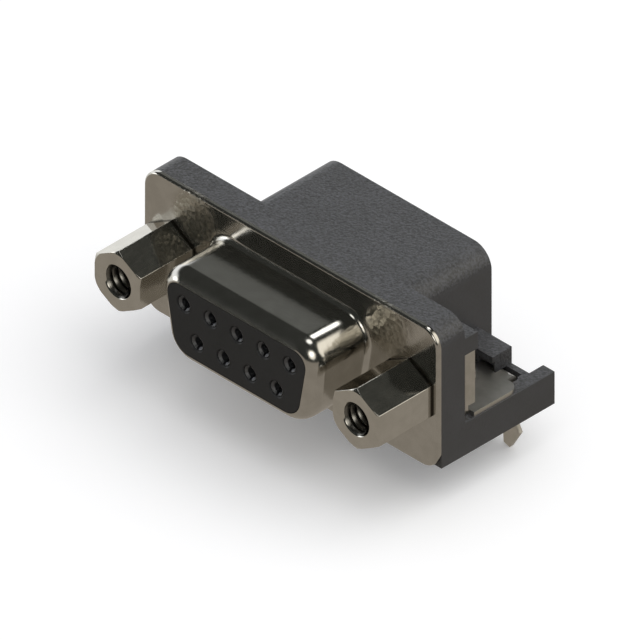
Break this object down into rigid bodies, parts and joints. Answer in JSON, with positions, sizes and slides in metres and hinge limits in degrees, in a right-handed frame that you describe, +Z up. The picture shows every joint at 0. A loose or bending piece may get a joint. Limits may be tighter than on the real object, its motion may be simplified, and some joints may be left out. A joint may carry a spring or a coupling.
{
  "type": "right-angle d-sub socket connector",
  "caption": "Right-angle D-subminiature socket connector for a circuit board, with hooded black housing, plated shell, jackscrews and board locks.",
  "frame": {"origin": "on the circuit board's face, at the middle of its front edge, where the metal flange meets the moulded housing", "axes": "+X along the flange, +Y back over the board, +Z up from the board; the mating face looks along -Y"},
  "size_m": [0.0308, 0.018, 0.0158],
  "materials": {
    "nickel_plate": "dark bright plated",
    "tin_plate": "satin plated",
    "jackscrew_nickel": "dark bright plated",
    "nut_steel": "plated",
    "housing_black": "fine pebble grain",
    "insulator_black": "satin",
    "contact_plate": "plated copper alloy"
  },
  "bodies": {
    "root": {"front_shell": "nickel_plate", "front_insulator": "insulator_black", "rear_insulator": "insulator_black", "housing": "housing_black", "tail_spacer": "insulator_black", "board_lock_left": "tin_plate", "board_lock_right": "tin_plate", "clinch_nut_left": "nut_steel", "clinch_nut_right": "nut_steel", "jackscrew_left": "jackscrew_nickel", "jackscrew_right": "jackscrew_nickel", "contact_1": "contact_plate", "contact_2": "contact_plate", "contact_3": "contact_plate", "contact_4": "contact_plate", "contact_5": "contact_plate", "contact_6": "contact_plate", "contact_7": "contact_plate", "contact_8": "contact_plate", "contact_9": "contact_plate"}
  },
  "joints": []
}
